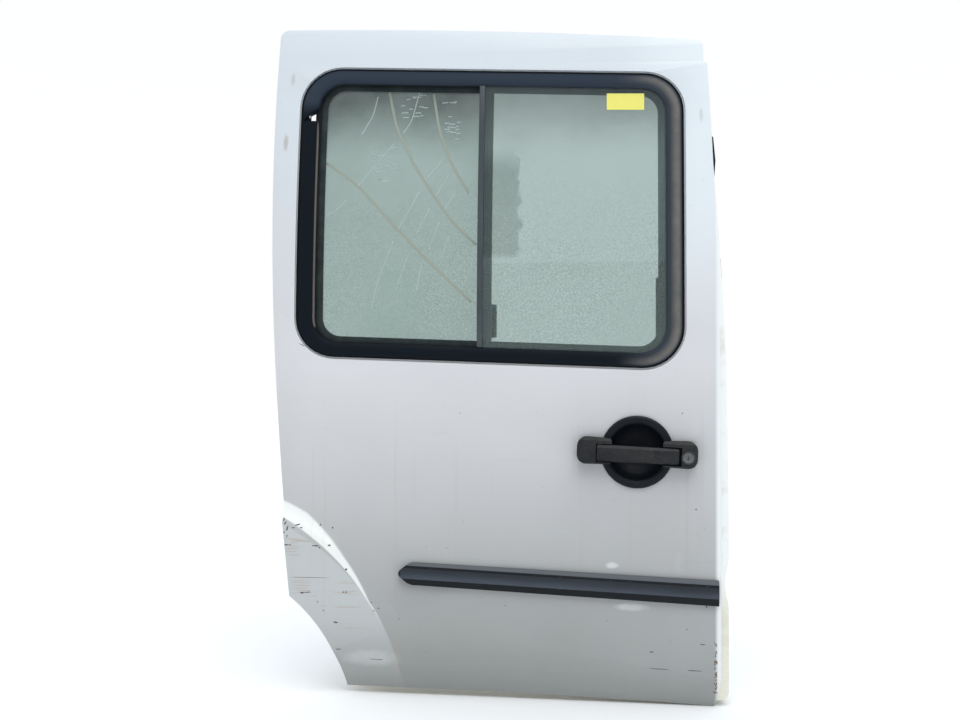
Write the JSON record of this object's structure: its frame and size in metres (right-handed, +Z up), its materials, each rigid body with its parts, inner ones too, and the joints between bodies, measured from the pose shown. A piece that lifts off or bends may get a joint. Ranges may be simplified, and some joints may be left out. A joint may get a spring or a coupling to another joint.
{
  "type": "van sliding side door",
  "caption": "Sliding side door with a framed sliding window, dished outside handle with lock, side moulding, inner panel and roller arm pads.",
  "frame": {"origin": "centre of the lower roller arm pad's face, on the inner side low at the front edge", "axes": "+X toward the vehicle's front, +Y inward through the door, +Z up"},
  "size_m": [0.8204, 0.15, 1.2172],
  "materials": {
    "white_paint": "worn gloss white paint",
    "inner_paint": "satin white paint, dirty",
    "black_frame": "matte",
    "tinted_glass": "tinted green",
    "black_plastic": "matte",
    "grey_rail": "satin",
    "handle_plastic": "satin grained",
    "bright_steel": "satin",
    "dull_steel": "satin",
    "moulding_plastic": "faded navy",
    "grey_trim": "grained",
    "black_rubber": "matte"
  },
  "bodies": {
    "door": {"outer_skin": "white_paint", "inner_panel": "inner_paint", "window_frame": "black_frame", "front_glass": "tinted_glass", "rear_glass": "tinted_glass", "window_divider": "black_frame", "upper_glass_track": "black_plastic", "lower_glass_track": "black_plastic", "sliding_stile": "grey_rail", "window_latch": "black_plastic", "window_catch": "black_plastic", "window_clamp_ring": "black_frame", "handle_base": "handle_plastic", "handle_pin": "bright_steel", "lock_bezel": "handle_plastic", "side_moulding": "moulding_plastic", "front_latch": "dull_steel", "front_latch_claw": "bright_steel", "rear_latch": "dull_steel", "rear_latch_claw": "bright_steel", "trim_panel": "grey_trim", "inner_handle_bezel": "black_plastic", "inner_handle_lever": "black_plastic", "grab_handle": "black_plastic", "upper_arm_pad": "dull_steel", "centre_hinge_pad": "dull_steel", "lower_arm_pad": "dull_steel", "front_guide_sockets": "bright_steel", "rear_guide_wedges": "black_plastic", "bump_stops": "black_rubber", "front_edge_buffer": "black_rubber", "hole_plugs": "black_rubber"},
    "grip": {"handle_grip": "handle_plastic"},
    "plug": {"lock_plug": "bright_steel"}
  },
  "joints": [
    {"name": "grip_pull", "type": "hinge", "parent": "door", "child": "grip", "pos_m": [-0.12244, -0.0995, 0.35066], "axis": [-0.0419, 0, -0.9991], "range_deg": [0, 18], "stiffness_Nm_per_rad": 0.6, "springref_deg": -20.05},
    {"name": "lock_turn", "type": "hinge", "parent": "door", "child": "plug", "pos_m": [0.02826, -0.103, 0.34034], "axis": [0, -1, 0], "range_deg": [-75, 75]}
  ]
}
